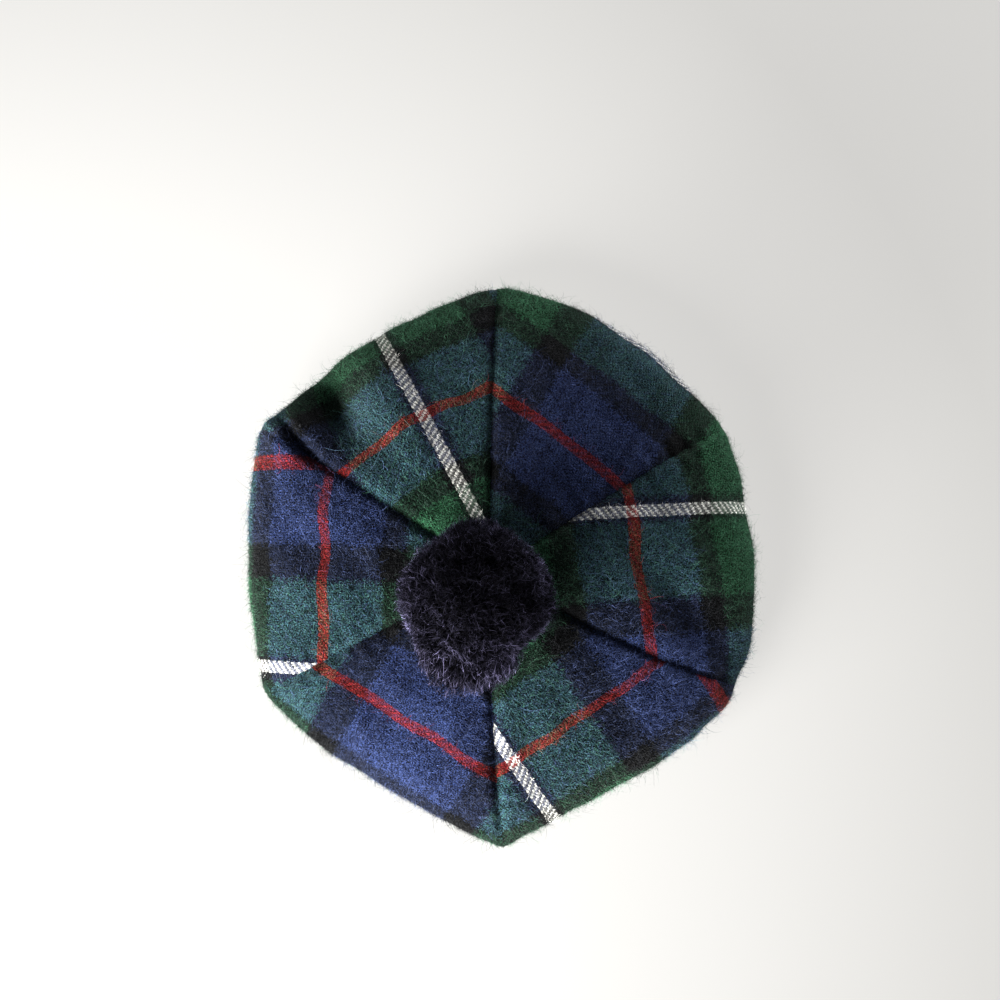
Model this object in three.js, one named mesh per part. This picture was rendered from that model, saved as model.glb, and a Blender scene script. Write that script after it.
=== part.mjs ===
// Tam o' shanter: six cloth gores that run from the tip over a soft rim to a headband, with a pompom.
// Millimetres, +Z up, +Y to the back. The origin is on the ground under the middle of the crown.
import * as THREE from 'three';

// Cloth and clearances
const CLOTH = 1.8; // brushed wool
const SEAM_CLOTH = 2.4; // beside a seam, where the turned-in edge lies against the inside
const GAP = 0.35; // between neighbouring pieces

// Crown
const TIP = { x: -5.6, y: -7.6, z: 50 }; // where the gores meet, around the pompom's tie
const EDGE = 14; // how far the crown's top curls down at the rim
const TOP_CURVE = 1.5; // from 1, a cone, to 2, a dome
const UNDER_SAG = 8; // how far the underside hangs between the rim and the headband
const PUFF = 2.2; // rise of the cloth between two seams
const GROOVE = { depth: 1.5, width: 4 }; // the valley along a seam

// Headband: doubled cloth for a 57 cm head
const BAND = { x: -3, y: -4, inner: 89, outer: 92, height: 25, chamfer: 0.4, sides: 72 };
const HEM_HEIGHT = 20; // where the gores' lower ends are sewn to the headband

// Pompom: a ball of yarn with a tuft hanging over the front
const BALL = { x: -11, y: -14.5, z: 77, wide: 34, deep: 31.5, tall: 31, clear: 0.8 };
const TUFT = { bearing: 270, dip: 28, spread: 27, reach: 14 };
const NECK = { radius: 3, knot: 4.5, above: 0.4, below: 7 };

// Mesh fineness
const COLUMNS = 14;
const TOP_ROWS = 10;
const UNDER_ROWS = 6;
const FIRST_ROW = 0.026; // leaves a small hole at the tip for the pompom's tie
const BALL_COLUMNS = 32;
const BALL_ROWS = 18;

// Seams in order round the crown: bearing about the tip near the pompom and at the rim (degrees),
// plan distance from the tip to the corner, and the height of the corner.
const SEAMS = [
  { near: 33.5, far: 32.0, reach: 136, rim: 12 },
  { near: 90.0, far: 88.7, reach: 142, rim: 12 },
  { near: 146.5, far: 147.5, reach: 134, rim: 14 },
  { near: 208.0, far: 207.4, reach: 122.5, rim: 15 },
  { near: 270.5, far: 272.8, reach: 127.5, rim: 14 },
  { near: 331.0, far: 335.7, reach: 131, rim: 13 },
];

// Gores: each starts at the seam of the same row and ends at the next. Plan distance from the tip
// to the middle of the outer edge, how far that edge swells towards its second seam, and its height.
const GORES = [
  { name: 'gore_back_right', reach: 137.5, lean: 1.2, rim: 11 },
  { name: 'gore_back_left', reach: 130.3, lean: -1.6, rim: 12 },
  { name: 'gore_left', reach: 117.3, lean: -1.6, rim: 15 },
  { name: 'gore_front_left', reach: 112, lean: 0, rim: 16 },
  { name: 'gore_front_right', reach: 118, lean: 2.4, rim: 15 },
  { name: 'gore_right', reach: 128.7, lean: 0, rim: 12 },
];
const LEAN_SHAPE = 2.6; // makes the swelling's peak equal to lean

// Folds: middle, bearing of the crease, half length, half width, and rise (a dent is negative).
const FOLDS = [
  { x: -97, y: 56, bearing: -48, length: 18, width: 5, rise: -5 },
  { x: -108, y: 47, bearing: 30, length: 16, width: 11, rise: 3.5 },
  { x: -86, y: 68, bearing: 135, length: 20, width: 11, rise: -5 },
  { x: -50, y: 66, bearing: 118, length: 30, width: 12, rise: 3 },
  { x: 73, y: 99, bearing: -40, length: 26, width: 5, rise: -2 },
  { x: 88, y: -30, bearing: -46, length: 34, width: 11, rise: -5 },
  { x: 97, y: 52, bearing: 32, length: 28, width: 9, rise: 3 },
  { x: 88, y: 68, bearing: 32, length: 26, width: 8, rise: -3.5 },
];

const WOOL = { tartan: 0x2c3d4a, band: 0x1d2a33, pompom: 0x17152a };
const HALF_TURN = Math.PI / 2;

const mix = (a, b, t) => a + (b - a) * t;
const radians = THREE.MathUtils.degToRad;
const bell = (distance, width) => Math.exp(-((distance / width) ** 2));

function clothMaterial(colour) {
  return new THREE.MeshStandardMaterial({ color: colour, roughness: 0.95, metalness: 0 });
}

// Plan distance from the tip to the circle where the gores meet the headband.
function hemReach(bearing) {
  const ahead = (TIP.x - BAND.x) * Math.cos(bearing) + (TIP.y - BAND.y) * Math.sin(bearing);
  const aside = (TIP.x - BAND.x) ** 2 + (TIP.y - BAND.y) ** 2;
  return -ahead + Math.sqrt(ahead ** 2 - aside + (BAND.outer + GAP) ** 2);
}

// One radial section, from the tip (t = 0) over the rim (t = 1) to the headband (t = 2).
function section(reach, rim, hem, t) {
  const k = Math.sin(t * HALF_TURN);
  if (t <= 1) {
    const fall = TIP.z - rim - EDGE;
    const height = rim + fall * (1 - k ** TOP_CURVE) + EDGE * Math.sqrt(1 - k ** 8);
    return new THREE.Vector2(reach * k, height);
  }
  const height = mix(HEM_HEIGHT, rim, k * k) - UNDER_SAG * k * Math.sqrt(1 - k ** 4);
  return new THREE.Vector2(mix(hem, reach, k), height);
}

function foldRise(x, y) {
  let rise = 0;
  for (const fold of FOLDS) {
    const bearing = radians(fold.bearing);
    const along = (x - fold.x) * Math.cos(bearing) + (y - fold.y) * Math.sin(bearing);
    const across = (y - fold.y) * Math.cos(bearing) - (x - fold.x) * Math.sin(bearing);
    rise += fold.rise * bell(along, fold.length) * bell(across, fold.width);
  }
  return rise;
}

// A point of a gore's outer face, with the direction its wall is thick in. side runs from -1 at the
// gore's first seam to 1 at its second.
function clothPoint(index, side, t) {
  const gore = GORES[index];
  const first = SEAMS[index];
  const second = SEAMS[(index + 1) % SEAMS.length];
  const turn = second.far < first.far ? 360 : 0;
  const k = Math.min(1, Math.sin(Math.min(t, 1) * HALF_TURN));
  const start = mix(first.near, first.far, k * k);
  const end = mix(second.near, second.far, k * k) + turn;
  const bearing = radians(mix(start, end, (side + 1) / 2));
  const corner = side < 0 ? first : second;
  const swell = gore.lean * LEAN_SHAPE * side * (1 - side * side);
  const reach = mix(gore.reach, corner.reach, side * side) + swell;
  const rim = mix(gore.rim, corner.rim, side * side);
  const hem = hemReach(bearing);

  const place = section(reach, rim, hem, t);
  const ahead = section(reach, rim, hem, Math.min(2, t + 0.01));
  const behind = section(reach, rim, hem, Math.max(0, t - 0.01));
  const out = ahead.sub(behind).normalize();
  const normal = new THREE.Vector3(
    -out.y * Math.cos(bearing),
    -out.y * Math.sin(bearing),
    out.x,
  );

  const fromSeam = (1 - Math.abs(side)) * place.x * Math.sin(radians((end - start) / 2));
  const puff = PUFF * (1 - side * side) * Math.max(0, Math.sin(t * Math.PI));
  const groove = GROOVE.depth * bell(fromSeam, GROOVE.width) * Math.min(1, place.x / 40);
  const x = TIP.x + place.x * Math.cos(bearing);
  const y = TIP.y + place.x * Math.sin(bearing);
  const folded = foldRise(x, y) * (t <= 1 ? 1 : 2 - t);
  const point = new THREE.Vector3(x, y, place.y + folded);
  point.addScaledVector(normal, puff - groove);
  const pressed = Math.abs(side) > 1 - 3 / COLUMNS ? 1 : 0;
  return { point, normal, thickness: mix(CLOTH, SEAM_CLOTH, pressed) };
}

// A closed shell between two grids of the same size.
function shellGeometry(outer, inner) {
  const rows = outer.length;
  const columns = outer[0].length;
  const points = [...outer.flat(), ...inner.flat()];
  const under = rows * columns;
  const at = (row, column) => row * columns + column;
  const faces = [];
  const quad = (a, b, c, d) => faces.push(a, b, c, a, c, d);
  for (let row = 0; row + 1 < rows; row += 1) {
    for (let column = 0; column + 1 < columns; column += 1) {
      const a = at(row, column);
      const b = at(row, column + 1);
      const c = at(row + 1, column + 1);
      const d = at(row + 1, column);
      quad(a, d, c, b);
      quad(a + under, b + under, c + under, d + under);
    }
  }
  // Both side walls are split along the same diagonal, so that neighbours' walls lie parallel.
  for (let row = 0; row + 1 < rows; row += 1) {
    const [a, b] = [at(row, 0), at(row + 1, 0)];
    quad(a, a + under, b + under, b);
    const [c, d] = [at(row, columns - 1), at(row + 1, columns - 1)];
    faces.push(c, d, d + under, c, d + under, c + under);
  }
  for (let column = 0; column + 1 < columns; column += 1) {
    const [a, b] = [at(0, column), at(0, column + 1)];
    quad(a, b, b + under, a + under);
    const [c, d] = [at(rows - 1, column), at(rows - 1, column + 1)];
    quad(d, c, c + under, d + under);
  }
  const geometry = new THREE.BufferGeometry();
  geometry.setFromPoints(points);
  geometry.setIndex(faces);
  geometry.computeVertexNormals();
  return geometry;
}

function gore(index) {
  const outer = [];
  const inner = [];
  for (let row = 0; row <= TOP_ROWS + UNDER_ROWS; row += 1) {
    const t = row <= TOP_ROWS ? mix(FIRST_ROW, 1, row / TOP_ROWS) : 1 + (row - TOP_ROWS) / UNDER_ROWS;
    const outerRow = [];
    const innerRow = [];
    for (let column = 0; column <= COLUMNS; column += 1) {
      const side = Math.sin(mix(-1, 1, column / COLUMNS) * HALF_TURN);
      const { point, normal, thickness } = clothPoint(index, side, t);
      outerRow.push(point);
      innerRow.push(point.clone().addScaledVector(normal, -thickness));
    }
    outer.push(outerRow);
    inner.push(innerRow);
  }
  const mesh = new THREE.Mesh(shellGeometry(outer, inner), clothMaterial(WOOL.tartan));
  mesh.name = GORES[index].name;
  // Moved out along its own middle, each gore leaves the gap beside both its seams.
  const start = SEAMS[index].far;
  const end = SEAMS[(index + 1) % SEAMS.length].far;
  const middle = radians(end < start ? (start + end + 360) / 2 : (start + end) / 2);
  mesh.position.set(GAP * Math.cos(middle), GAP * Math.sin(middle), 0);
  return mesh;
}

function headband() {
  const { inner, outer, height, chamfer } = BAND;
  const profile = [
    [inner, chamfer],
    [inner + chamfer, 0],
    [outer - chamfer, 0],
    [outer, chamfer],
    [outer, height - chamfer],
    [outer - chamfer, height],
    [inner + chamfer, height],
    [inner, height - chamfer],
    [inner, chamfer],
  ].map(([reach, up]) => new THREE.Vector2(reach, up));
  const mesh = new THREE.Mesh(new THREE.LatheGeometry(profile, BAND.sides), clothMaterial(WOOL.band));
  mesh.rotation.x = HALF_TURN;
  mesh.position.set(BAND.x, BAND.y, 0);
  mesh.name = 'headband';
  return mesh;
}

// The yarn that ties the pompom down, through the hole where the gores meet, with its knot inside.
function pompomTie() {
  const top = TIP.z + NECK.above;
  const bottom = TIP.z - NECK.below;
  const shoulder = bottom + NECK.knot / 2;
  const profile = [
    [0, bottom],
    [NECK.knot, bottom],
    [NECK.knot, shoulder],
    [NECK.radius, shoulder + 1],
    [NECK.radius, top],
    [0, top],
  ].map(([reach, up]) => new THREE.Vector2(reach, up));
  const mesh = new THREE.Mesh(new THREE.LatheGeometry(profile, 16), clothMaterial(WOOL.pompom));
  mesh.rotation.x = HALF_TURN;
  mesh.position.set(TIP.x, TIP.y, 0);
  mesh.name = 'pompom_tie';
  return mesh;
}

// The most that the crown rises to under a plan point, without its folds.
function crownHeight(x, y) {
  const [widest] = GORES;
  const k = Math.min(1, Math.hypot(x - TIP.x, y - TIP.y) / widest.reach);
  const t = Math.asin(k) / HALF_TURN;
  return section(widest.reach, widest.rim, 0, t).y + PUFF * Math.sin(t * Math.PI);
}

// A ball that bulges where the tuft hangs and is flattened where it lies on the crown.
function pompom() {
  const bearing = radians(TUFT.bearing);
  const dip = radians(TUFT.dip);
  const tuftWay = new THREE.Vector3(
    Math.cos(bearing) * Math.cos(dip),
    Math.sin(bearing) * Math.cos(dip),
    -Math.sin(dip),
  );
  const geometry = new THREE.SphereGeometry(1, BALL_COLUMNS, BALL_ROWS);
  geometry.rotateX(HALF_TURN);
  const places = geometry.getAttribute('position');
  const point = new THREE.Vector3();
  for (let index = 0; index < places.count; index += 1) {
    point.fromBufferAttribute(places, index);
    const away = THREE.MathUtils.radToDeg(point.angleTo(tuftWay));
    const tuft = TUFT.reach * bell(away, TUFT.spread);
    const x = BALL.x + point.x * (BALL.wide + tuft);
    const y = BALL.y + point.y * (BALL.deep + tuft);
    const z = BALL.z + point.z * (BALL.tall + tuft);
    places.setXYZ(index, x, y, Math.max(z, crownHeight(x, y) + BALL.clear));
  }
  geometry.computeVertexNormals();
  const mesh = new THREE.Mesh(geometry, clothMaterial(WOOL.pompom));
  mesh.name = 'pompom';
  return mesh;
}

const cap = new THREE.Group();
cap.add(headband());
GORES.forEach((row, index) => cap.add(gore(index)));
cap.add(pompomTie());
cap.add(pompom());
export default cap;
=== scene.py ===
"""Tam o' shanter: a six-gored cap of brushed tartan wool with a yarn pompom, resting on its headband."""

import math
from functools import partial

import bpy
import numpy as np
from bpy.props import FloatProperty, FloatVectorProperty, IntProperty, PointerProperty
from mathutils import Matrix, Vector


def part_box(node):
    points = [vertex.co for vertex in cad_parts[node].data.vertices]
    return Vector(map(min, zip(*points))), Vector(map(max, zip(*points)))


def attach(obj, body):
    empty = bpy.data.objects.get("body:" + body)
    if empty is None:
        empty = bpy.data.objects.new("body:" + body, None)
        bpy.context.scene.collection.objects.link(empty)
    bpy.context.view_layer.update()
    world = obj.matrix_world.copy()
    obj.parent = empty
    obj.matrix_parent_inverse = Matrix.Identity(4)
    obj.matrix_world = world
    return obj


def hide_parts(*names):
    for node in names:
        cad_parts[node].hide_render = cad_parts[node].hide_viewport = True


bl_info = {
    "name": "Tam o' Shanter",
    "version": (1, 0, 0),
    "blender": (4, 5, 0),
    "location": "3D View > Sidebar > Cap",
    "description": "Builds a gored tartan cap with a brushed nap and a yarn pompom",
    "category": "Add Mesh",
}

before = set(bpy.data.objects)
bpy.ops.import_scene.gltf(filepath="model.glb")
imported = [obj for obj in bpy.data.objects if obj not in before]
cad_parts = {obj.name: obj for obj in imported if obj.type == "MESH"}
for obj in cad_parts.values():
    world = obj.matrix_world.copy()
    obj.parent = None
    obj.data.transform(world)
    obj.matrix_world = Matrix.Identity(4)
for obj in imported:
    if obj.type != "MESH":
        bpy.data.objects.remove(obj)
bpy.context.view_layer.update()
MM = 0.001


def table(columns, *rows):
    """Rows of values, each under the names of the columns."""
    return [dict(zip(columns, row)) for row in rows]


# The crown's form, in millimetres, as the CAD gores have it.
TIP = np.array([-5.6, -7.6, 50.0])  # where the six gores meet
EDGE = 14.0  # how far the crown's top curls down at the rim
TOP_CURVE = 1.5  # how late the top starts to fall on its way to the rim
UNDER_SAG = 8.0
HEM_HEIGHT = 20.0  # where the gores are sewn to the headband
FIRST_ROW = 0.026  # where a section starts, beside the tip
LEAN_SHAPE = 2.6  # makes a gore's lean the most that its edge swells by
QUARTER_TURN = math.pi / 2
STEP = 0.01  # how far apart points are taken to find which way the cloth runs
GAP = 0.35  # the room that the CAD keeps between a gore and what it is sewn to
OVERLAP = 0.2  # how far the sewn gores press into each other at a seam

BAND_LOW, BAND_HIGH = (np.array(corner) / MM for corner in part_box("headband"))
BAND_CENTRE = (BAND_LOW + BAND_HIGH) / 2
BAND_OUTER = (BAND_HIGH[0] - BAND_LOW[0]) / 2
BAND_HEIGHT = BAND_HIGH[2] - BAND_LOW[2]
BAND_THICK = 3.0  # two layers of cloth

# How the cloth lies, in millimetres: the rise of a gore between its seams, the thickness of the
# wall and of the edges turned in at a seam, and the distance from the tip by which unevenness has
# grown to its full height.
PUFF = 2.2
WALL = 1.8
TURNED_IN = {"thick": 1.4, "width": 3}
SETTLED = 40
# The valley along a seam opens with the distance from the tip and fades towards the rim.
GROOVE = {"width": 2.6, "open_by": 30, "fade_from": 0.7, "fade_over": 0.25, "fade_share": 0.85}
# Small puckers beside it: pace is in radians a millimetre along the seam, away is from the seam.
PUCKER = {"rise": 0.35, "pace": 0.72, "away": 4, "spread": 5}
BOW_WIDTH = 26  # half width of the bow in a gore's weft
WEFT_WANDER = 0.6  # how far the weft wanders from its line

# Seams round the crown: bearing about the tip near the pompom and at the rim (degrees), plan
# distance from the tip to the corner, height of the corner.
SEAMS = table(
    ("near", "far", "reach", "rim"),
    (33.5, 32.0, 136, 12),
    (90.0, 88.7, 144, 12),
    (146.5, 147.5, 134, 14),
    (208.0, 207.4, 122.5, 15),
    (270.5, 272.8, 129.5, 14),
    (331.0, 335.7, 131, 13),
)

# Gores, each between its own seam and the next: plan distance from the tip to the middle of the
# outer edge, how far that edge swells towards the second seam, its height, and how the cloth was
# cut: the warp thread on the gore's axis, which way the threads count across it (1 is clockwise),
# the plan distance from the tip to the red weft line, how that line slants, and how far the weft
# bows out in the gore's middle.
GORES = table(
    ("name", "reach", "lean", "rim", "thread", "way", "red", "slant", "bow"),
    ("gore_back_right", 137.5, 1.2, 11, 144.5, 1, 70.8, -0.147, 0),
    ("gore_back_left", 130.3, -1.6, 12, 74.7, 1, 75.6, 0.042, 5),
    ("gore_left", 117.3, -1.6, 15, 40.6, -1, 77.3, 0.03, 0),
    ("gore_front_left", 112, 0.0, 16, 160.7, 1, 78.1, -0.033, 0),
    ("gore_front_right", 118, 2.4, 15, 47.5, 1, 77.5, 0.0, 0),
    ("gore_right", 128.7, 0.0, 12, 60.5, -1, 69.5, 0.07, -1),
)

# Folds: middle, bearing of the crease, half length, half width, and rise (a dent is negative).
FOLDS = table(
    ("x", "y", "bearing", "length", "width", "rise"),
    (-98, 56, -47, 15, 3, -7),
    (-106, 60, -42, 12, 9, 6),
    (-114, 64, 44, 9, 3.5, 3),
    (-99, 67, -32, 9, 4, 4.5),
    (-82, 73, 125, 20, 11, -11),
    (-54, 72, 118, 30, 13, 4.5),
    (73, 99, -40, 26, 5, -2),
    (88, -30, -46, 34, 11, -5),
    (97, 52, 32, 28, 9, 3),
    (88, 68, 32, 26, 8, -3.5),
)

# Half of the check's repeat, in threads from the middle of the red line to the middle of the
# broad blue stripe. It is mirrored at both ends, and the warp and the weft are alike.
STRIPES = (
    ("red", 2.5), ("blue", 29.5), ("black", 14), ("green", 30), ("black", 2), ("white", 5),
    ("black", 3), ("green", 29), ("black", 14), ("blue", 3), ("navy", 3), ("blue", 3),
    ("navy", 3), ("blue", 13),
)
HALF_REPEAT = sum(count for _, count in STRIPES)
# The two narrow lines are drawn over the ground, which is one of these dyes under each of them.
GROUND = {"white": "black", "red": "blue"}
CRISP = {"white": 1.0, "red": 0.5}  # how much of its weave each line shows through the nap

# Pompom, in millimetres: a ball with a tuft hanging over the front, parted from it. Spreads are
# angles about the ball's centre, in degrees, and depths are shares of its radius.
BALL = {"centre": (-11.5, -18, 77), "radii": (34, 33, 31), "clear": 0.8}
TUFT = {"bearing": 261, "dip": 24, "spread": 40, "reach": 11}
PARTING = {"away": 46, "width": 7, "depth": 0.03}
DENTS = table(
    ("bearing", "dip", "spread", "depth"),
    (313, 2, 12, 0.18),
    (132, 0, 26, 0.13),
    (48, 0, 24, 0.12),
    (350, -78, 9, 0.08),
    (215, 8, 8, 0.06),
)
# Cut ends of yarn, in shares of the ball's radius: how far they stray from an even spread, how
# far out they reach, and how their strands splay at each point, curl and hook.
ENDS = {"stray": 0.016, "reach": 0.98, "varies": 0.035, "strand_varies": 0.015,
        "least": 0.86, "most": 1.06, "splay": (0.02, 0.04, 0.06, 0.06), "curl": 0.05, "hook": 0.06}
TOP_PAINTED_SHADE = 0.4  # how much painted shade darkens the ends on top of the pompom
CORE = 0.8  # the share of the ball that is packed too densely to see into
LUMPS = {"rise": 0.02, "ways": ((9, 2, 5), (-3, 8, -6))}  # two slow waves across the ball

# The yarn that ties the pompom on: a three-ply cord with a coil under the crown.
TIE_LOW, TIE_HIGH = (np.array(corner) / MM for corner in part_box("pompom_tie"))
PLY = 1.3  # radius of a ply
TWIST = 9  # height of one turn of the plies

# The headband, in millimetres: the slit between its layers, the ripple round it, and how much the
# seam that joins its ends draws it in. Stitches have a height from the folded edge, a radius,
# a pitch in stitch lengths, the depth that their ends sink to and the rise of their middles.
BAND_SLIT = 0.1
BAND_RIPPLE = {"rise": 0.12, "fast": 23, "slow": 5}
BAND_SEAM = {"depth": 0.5, "width": 1.1}
STITCH = {"up": 5.0, "radius": 0.3, "pitch": 1.25, "sunk": 0.15, "rise": 0.12}

WOOL = {
    "blue": "#323E62",
    "green": "#2D543D",
    "navy": "#202844",
    "black": "#07080B",
    "red": "#8C2829",
    "white": "#DADAD6",
    "yarn": "#464457",
    "band": "#1A1C2A",
    "thread": "#2B2D3A",
}
SHEET = "#5C5C5B"  # the sheet's own colour, under its painted glow

# Sizes of the patterns in the wool, in millimetres: how far a woven thread and a brushed fibre run
# before they are pulled another way, clumps of nap, fibre ends, fluff on the band, and the twist
# of the sewing thread. Real fibre ends lie under 0.1 mm apart, so they are drawn coarser to show.
PATTERN = {"pull": 1.429, "brush": 1.25, "clump": 2.381, "end": 0.606, "fluff": 1.111, "twist": 0.4}

# The stage, in metres and degrees. The lamps stand on a circle about a point above the floor.
FLOOR_HALF = 8.0
LAMP_DISTANCE = 1.3
LAMP_TARGET = 0.03
FILL_WAY = (0.7, 0.71, 0.045)
CAMERA_ELEVATION = 84
CAMERA_TARGET = (-0.001, 0.0288, 0.018)
SENSOR_WIDTH = 36  # millimetres
VIEW_WIDTH = 0.487  # how much of the stage the picture is wide at the target


def linear(colour):
    """A colour given as sRGB hex, in linear light."""
    channels = [int(colour[place : place + 2], 16) / 255 for place in (1, 3, 5)]
    return [c / 12.92 if c <= 0.04045 else ((c + 0.055) / 1.055) ** 2.4 for c in channels]


# ---------------- the crown's surface


def mix(a, b, share):
    return a + (b - a) * share


def bell(distance, width):
    return np.exp(-((distance / width) ** 2))


def unit(vectors):
    return vectors / np.maximum(np.linalg.norm(vectors, axis=-1, keepdims=True), 1e-9)


def around(centre, out, turn, height):
    """Points at a distance and a bearing from an upright line through centre."""
    x = centre[0] + out * np.cos(turn)
    y = centre[1] + out * np.sin(turn)
    return np.stack(np.broadcast_arrays(x, y, height), axis=-1)


def hem_reach(bearing):
    """Plan distance from the tip to the circle where the gores meet the headband."""
    apart = TIP[:2] - BAND_CENTRE[:2]
    ahead = apart[0] * np.cos(bearing) + apart[1] * np.sin(bearing)
    return -ahead + np.sqrt(ahead**2 - apart @ apart + (BAND_OUTER + GAP) ** 2)


def section(reach, rim, hem, t):
    """One radial section from the tip (t = 0) over the rim (1) to the headband (2): the top falls
    slowly and curls down at the rim, and the underside sags on its way back."""
    k = np.clip(np.sin(t * QUARTER_TURN), 0, 1)
    fall = TIP[2] - rim - EDGE
    top = rim + fall * (1 - k**TOP_CURVE) + EDGE * np.sqrt(1 - k**8)
    under = mix(HEM_HEIGHT, rim, k * k) - UNDER_SAG * k * np.sqrt(1 - k**4)
    out = np.where(t <= 1, reach * k, mix(hem, reach, k))
    return out, np.where(t <= 1, top, under)


def fold_rise(x, y):
    rise = np.zeros_like(x)
    for fold in FOLDS:
        turn = math.radians(fold["bearing"])
        along = (x - fold["x"]) * math.cos(turn) + (y - fold["y"]) * math.sin(turn)
        across = (y - fold["y"]) * math.cos(turn) - (x - fold["x"]) * math.sin(turn)
        rise += fold["rise"] * bell(along, fold["length"]) * bell(across, fold["width"])
    return rise


def slow_waves(x, y):
    """Gentle unevenness of the lying cloth, from a few plane waves. The result is about -1 to 1."""
    draw = np.random.default_rng(11)
    total = np.zeros_like(x)
    waves = 9
    for _ in range(waves):
        turn = draw.uniform(0, math.tau)
        length = draw.uniform(16, 46)
        start = draw.uniform(0, math.tau)
        total += np.sin((x * math.cos(turn) + y * math.sin(turn)) * math.tau / length + start)
    return total / math.sqrt(waves)


def cloth(index, side, t, settings):
    """Points of a gore's outer face, the way its wall is thick, and the distance to its nearer
    seam. side runs from -1 at the gore's first seam to 1 at its second."""
    gore = GORES[index]
    first = SEAMS[index]
    second = SEAMS[(index + 1) % len(SEAMS)]
    full = 360 if second["far"] < first["far"] else 0
    k = np.sin(np.minimum(t, 1) * QUARTER_TURN)
    start = mix(first["near"], first["far"], k * k)
    end = mix(second["near"], second["far"], k * k) + full
    bearing = np.radians(mix(start, end, (side + 1) / 2))
    corner_reach = np.where(side < 0, first["reach"], second["reach"])
    corner_rim = np.where(side < 0, first["rim"], second["rim"])
    swell = gore["lean"] * LEAN_SHAPE * side * (1 - side**2)
    reach = mix(gore["reach"], corner_reach, side**2) + swell
    rim = mix(gore["rim"], corner_rim, side**2)
    hem = hem_reach(bearing)

    out, height = section(reach, rim, hem, t)
    out_next, height_next = section(reach, rim, hem, np.minimum(2, t + STEP))
    out_last, height_last = section(reach, rim, hem, np.maximum(0, t - STEP))
    run = unit(np.stack([out_next - out_last, height_next - height_last], axis=-1))
    normal = around((0, 0), -run[..., 1], bearing, run[..., 0])

    from_seam = (1 - np.abs(side)) * out * np.sin(np.radians((end - start) / 2))
    puff = settings.puff / MM * (1 - side**2) * np.maximum(0, np.sin(t * math.pi))
    fade = np.clip((t - GROOVE["fade_from"]) / GROOVE["fade_over"], 0, 1)
    open_out = np.minimum(1, out / GROOVE["open_by"]) * (1 - GROOVE["fade_share"] * fade)
    groove = settings.seam_depth / MM * bell(from_seam, GROOVE["width"]) * open_out
    settled = np.minimum(1, out / SETTLED)
    pucker = PUCKER["rise"] * np.sin(out * PUCKER["pace"] + index)
    pucker = pucker * bell(from_seam - PUCKER["away"], PUCKER["spread"]) * settled
    points = around(TIP, out, bearing, height)
    x, y = points[..., 0], points[..., 1]
    waves = settings.unevenness / MM * slow_waves(x, y) * settled
    points[..., 2] += fold_rise(x, y) * np.clip(2 - t, 0, 1)
    points += normal * (puff - groove + pucker + waves)[..., None]
    middle = gore_axis(index)
    points[..., :2] -= OVERLAP * np.array([math.cos(middle), math.sin(middle)])
    return points, normal, from_seam


def gore_axis(index):
    """Bearing of a gore's middle line about the tip."""
    start = SEAMS[index]["far"]
    end = SEAMS[(index + 1) % len(SEAMS)]["far"]
    return math.radians((start + (end if end > start else end + 360)) / 2)


def thread_places(index, points, t, settings):
    """Where points of a gore lie in the check: warp and weft thread numbers from a red line."""
    gore = GORES[index]
    axis = gore_axis(index)
    from_tip = points[..., :2] - TIP[:2]
    out = from_tip[..., 0] * math.cos(axis) + from_tip[..., 1] * math.sin(axis)
    across = from_tip[..., 0] * math.sin(axis) - from_tip[..., 1] * math.cos(axis)

    # Past the rim the cloth goes on under the crown, so its own length is counted there.
    steps = np.linspace(0, 2, 401)
    reach, height = section(gore["reach"], gore["rim"], hem_reach(axis), steps)
    lengths = np.concatenate([[0], np.cumsum(np.hypot(np.diff(reach), np.diff(height)))])
    extra = np.interp(t, steps, lengths - reach)
    at_red = np.interp(2 / math.pi * math.asin(gore["red"] / gore["reach"]), steps, lengths - reach)
    warp = gore["way"] * gore["thread"] + across / (settings.end_spacing / MM)
    weft = out + extra - at_red - gore["red"] - gore["slant"] * across
    wander = WEFT_WANDER * slow_waves(points[..., 0], points[..., 1])
    weft -= gore["bow"] * bell(across, BOW_WIDTH) + wander
    return np.stack([warp, weft / (settings.pick_spacing / MM)], axis=-1)


# ---------------- meshes from arrays


def new_piece(name, points, faces, maps, material, smooth=True):
    """A mesh object from points in millimetres and faces with one number of corners each. maps
    gives each UV map by name, with a pair of numbers for every corner of every face."""
    corners = faces.shape[1]
    mesh = bpy.data.meshes.new(name)
    mesh.vertices.add(len(points))
    mesh.vertices.foreach_set("co", (points * MM).astype(np.float32).ravel())
    mesh.loops.add(faces.size)
    mesh.loops.foreach_set("vertex_index", faces.astype(np.int32).ravel())
    mesh.polygons.add(len(faces))
    mesh.polygons.foreach_set("loop_start", np.arange(0, faces.size, corners, dtype=np.int32))
    for label, places in maps.items():
        layer = mesh.uv_layers.new(name=label)
        layer.uv.foreach_set("vector", places.astype(np.float32).ravel())
    mesh.update(calc_edges=True)
    mesh.polygons.foreach_set("use_smooth", np.full(len(faces), smooth))
    mesh.materials.append(material)
    piece = bpy.data.objects.new(name, mesh)
    bpy.context.scene.collection.objects.link(piece)
    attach(piece, "root")
    return piece


def grid_faces(rows, columns):
    """Quads of a grid of points."""
    row, column = np.meshgrid(np.arange(rows - 1), np.arange(columns - 1), indexing="ij")
    corner = (row * columns + column).ravel()
    return np.stack([corner, corner + columns, corner + columns + 1, corner + 1], axis=-1)


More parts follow.
